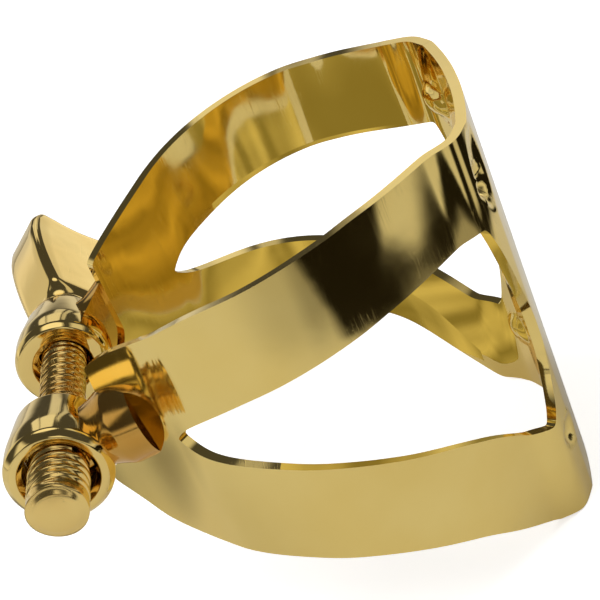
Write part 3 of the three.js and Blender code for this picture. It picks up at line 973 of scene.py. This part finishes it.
def table_shade(x, y):
    """How dark the surroundings are at a point of the table, 0 to 1, for mirror reflections."""
    reach = math.hypot(x, y)
    bearing = math.degrees(math.atan2(x, -y))
    edge = curve(TABLE_EDGE, bearing)
    soft = EDGE_SOFT + EDGE_SOFTER * window(bearing, EDGE_SOFTER_FROM, EDGE_SOFTER_TO)
    dark = smooth_step(bearing + DARK_SLANT * (reach - DARK_SLANT_REACH), *DARK_BEARING)
    dark *= smooth_step(reach, edge - soft, edge + soft)
    left = LEFT_BASE + LEFT_STEP * sum(smooth_step(bearing, *step) for step in LEFT_STEPS)
    left *= smooth_step(reach, *LEFT_REACH)
    brown = BROWN * window(bearing, BROWN_FROM, BROWN_TO) * smooth_step(reach, *BROWN_REACH)
    shade = max(left, dark, brown) * (1 - smooth_step(bearing, *DARK_END))
    start = max(PALE_START - (reach - PALE_START_REACH), PALE_START_LEAST)
    pale = window(bearing, (start, start + PALE_SOFT), PALE_TO) * window(reach, PALE_REACH, PALE_END)
    line = window(bearing, LINE_FROM, LINE_TO) * window(reach, LINE_REACH, LINE_END)
    shade *= 1 - max(PALE * pale, LINE * line)
    posts = window(-bearing, POSTS_FROM, POSTS_TO) * window(reach, POSTS_REACH, POSTS_END)
    return max(shade, POSTS * posts)


def glow_material(name):
    """A material that only glows, with its graph and its glow node."""
    g = MaterialGraph(name)
    g.tree.nodes.remove(g.shader)
    return g, node(g.tree, "ShaderNodeEmission")


def finish_card(card, material, layer, kind, field, values):
    """Gives a card its material and a value for each point, and shows it to mirror rays only."""
    made = card.data.attributes.new(layer, kind, "POINT")
    made.data.foreach_set(field, np.array(values, np.float32))
    card.data.materials.append(material)
    card.visible_camera = False
    card.visible_diffuse = False
    card.visible_shadow = False
    card.visible_transmission = False


def make_dark_card():
    """Dark surroundings beyond the white table, which only the polished surfaces mirror."""
    g, glow = glow_material("room_dark")
    glow.inputs["Color"].default_value = (0.012, 0.010, 0.006, 1)
    clear = node(g.tree, "ShaderNodeBsdfTransparent")
    shade = node(g.tree, "ShaderNodeAttribute", attribute_name="shade")
    both = node(g.tree, "ShaderNodeMixShader")
    g.link(shade.outputs["Fac"], both.inputs[0])
    g.link(clear.outputs[0], both.inputs[1])
    g.link(glow.outputs[0], both.inputs[2])
    g.link(both.outputs[0], g.tree.nodes["Material Output"].inputs["Surface"])
    points, shades, faces = [], [], []
    for bearing in CARD_BEARINGS:
        turn = math.radians(bearing)
        for reach in CARD_REACHES:
            x, y = reach * math.sin(turn), -reach * math.cos(turn)
            points.append(place(x, y, PLATE_LOW + CARD_LIFT))
            shades.append(table_shade(x, y))
    n = len(CARD_REACHES)
    for i in range(len(CARD_BEARINGS) - 1):
        for j in range(n - 1):
            faces.append((i * n + j, (i + 1) * n + j, (i + 1) * n + j + 1, i * n + j + 1))
    card = mesh_object("card_dark_room", points, faces)
    finish_card(card, g.material, "shade", "FLOAT", "value", shades)


def make_glow_card():
    """Deep gold light inside the ring, which its polished inner side mirrors.

    The real sheet mirrors itself many times over here. The card fills the open parts of the front
    and back strips as seen from inside, and the floor of the ring.
    """
    g, glow = glow_material("ring_glow")
    tint = node(g.tree, "ShaderNodeAttribute", attribute_name="tint")
    g.link(tint.outputs["Color"], glow.inputs["Color"])
    g.link(glow.outputs[0], g.tree.nodes["Material Output"].inputs["Surface"])
    columns = band_columns()
    floor = PLATE_LOW + GLOW_LIFT
    points, tints, faces = [], [], []

    def add(x, y, z):
        """A point of the card, paler in soft upright bands."""
        wave = 0.36 + 0.4 * math.sin(0.8 * x + 1.2) + 0.25 * math.sin(1.9 * x + 0.3 * y)
        amount = ramp(wave + 0.15 * math.sin(1.3 * z), 0, 1)
        points.append(place(x, y, z))
        tints.extend(deep + (pale - deep) * amount for deep, pale in zip(GLOW_DEEP, GLOW_PALE))
        tints.append(1.0)

    def screen(ends):
        """A strip of the card between two ends, each a (column, bottom, top)."""
        first = len(points)
        for column, bottom, top in ends:
            x, y = column["x"], column["y"]
            inward = Vector((GLOW_MIDDLE_X - x, -y)).normalized() * GLOW_INSET
            for step in range(GLOW_ROWS + 1):
                add(x + inward.x, y + inward.y, bottom + (top - bottom) * step / GLOW_ROWS)
        n = GLOW_ROWS + 1
        for k in range(first, first + GLOW_ROWS):
            faces.append((k, k + n, k + n + 1, k + 1))

    for pair in zip(columns, columns[1:]):
        if all(c["z"][0] > floor + GLOW_LEAST for c in pair):
            screen([(c, floor, c["z"][0] - GLOW_ROOM) for c in pair])
        if all(c["open"] and c["x"] < BEND_A[0] for c in pair) and pair[0]["x"] > GLOW_WINDOW_X:
            screen([(c, c["z"][1] + GLOW_WINDOW_ROOM, c["z"][2] - GLOW_WINDOW_ROOM) for c in pair])
    gap = [{"x": TAB_CORNER_X - 1, "y": y} for y in (-GAP_HALF, 0, GAP_HALF)]
    for pair in zip(gap, gap[1:]):
        screen([(c, floor, GAP_TOP) for c in pair])
    for pair in zip(columns, columns[1:] + columns[:1]):
        first = len(points)
        for k in range(GLOW_FLOOR_ROWS + 1):
            out = GLOW_FLOOR_STEP * k
            for c in pair:
                add(GLOW_MIDDLE_X + (c["x"] - GLOW_MIDDLE_X) * out, c["y"] * out, floor)
        for k in range(first, first + 2 * GLOW_FLOOR_ROWS, 2):
            faces.append((k, k + 1, k + 3, k + 2))
    card = mesh_object("card_ring_glow", points, faces)
    finish_card(card, g.material, "tint", "FLOAT_COLOR", "color", tints)


def area_light(name, spot, width, power):
    """A soft square light that looks at the ligature and isn't mirrored."""
    data = bpy.data.lights.new(name, "AREA")
    data.shape = "RECTANGLE"
    data.size = data.size_y = width
    data.energy = power
    obj = bpy.data.objects.new(name, data)
    bpy.context.scene.collection.objects.link(obj)
    obj.location = spot
    toward = Vector((0, 0, 0.01)) - Vector(spot)
    obj.rotation_euler = toward.to_track_quat("-Z", "Y").to_euler()
    obj.visible_glossy = False


def make_light():
    """Soft light for the table, and a studio of pale panels in a dim room for the reflections."""
    world = bpy.data.worlds.new("studio")
    bpy.context.scene.world = world
    world.use_nodes = True
    tree = world.node_tree
    g = Graph(tree)
    split = node(tree, "ShaderNodeSeparateXYZ")
    g.link(node(tree, "ShaderNodeTexCoord").outputs["Generated"], split.inputs[0])
    x, y, z = split.outputs
    bearing = g.math("MULTIPLY", g.math("ARCTAN2", x, y), 180 / math.pi)
    height = g.math("MULTIPLY", g.math("ARCSINE", z), 180 / math.pi)

    def step(value, low, high):
        made = node(tree, "ShaderNodeMapRange", interpolation_type="SMOOTHSTEP")
        made.inputs["From Min"].default_value = low
        made.inputs["From Max"].default_value = high
        g.link(value, made.inputs["Value"])
        return made.outputs[0]

    def between_edges(value, low, high, soft):
        up = step(value, low - soft, low + soft)
        down = g.math("SUBTRACT", 1.0, step(value, high - soft, high + soft))
        return g.math("MULTIPLY", up, down)

    room = g.math("ADD", g.math("MULTIPLY", step(height, *HORIZON_END), HORIZON - DIM), DIM)
    for low, high, bottom, top, strength, soft in PANELS:
        panel = g.math("MULTIPLY", between_edges(bearing, low, high, soft),
                       between_edges(height, bottom, top, soft))
        room = g.math("ADD", room, g.math("MULTIPLY", panel, strength))
    room = g.math("ADD", room, g.math("MULTIPLY", step(height, *OVERHEAD_START), OVERHEAD))
    mirror = node(tree, "ShaderNodeLightPath").outputs["Is Glossy Ray"]
    seen = g.math("MULTIPLY", mirror, room)
    sky = g.math("MULTIPLY", g.math("SUBTRACT", 1.0, mirror), SKY)
    background = tree.nodes["Background"]
    background.inputs["Color"].default_value = SKY_COLOUR
    g.link(g.math("ADD", seen, sky), background.inputs["Strength"])
    area_light("key", (-0.25, -0.15, 0.45), 0.3, KEY_POWER)
    area_light("fill", (0.35, 0.2, 0.35), 0.25, FILL_POWER)


make_camera()
make_floor()
make_dark_card()
make_glow_card()
make_light()
bpy.context.scene.view_settings.view_transform = "Standard"
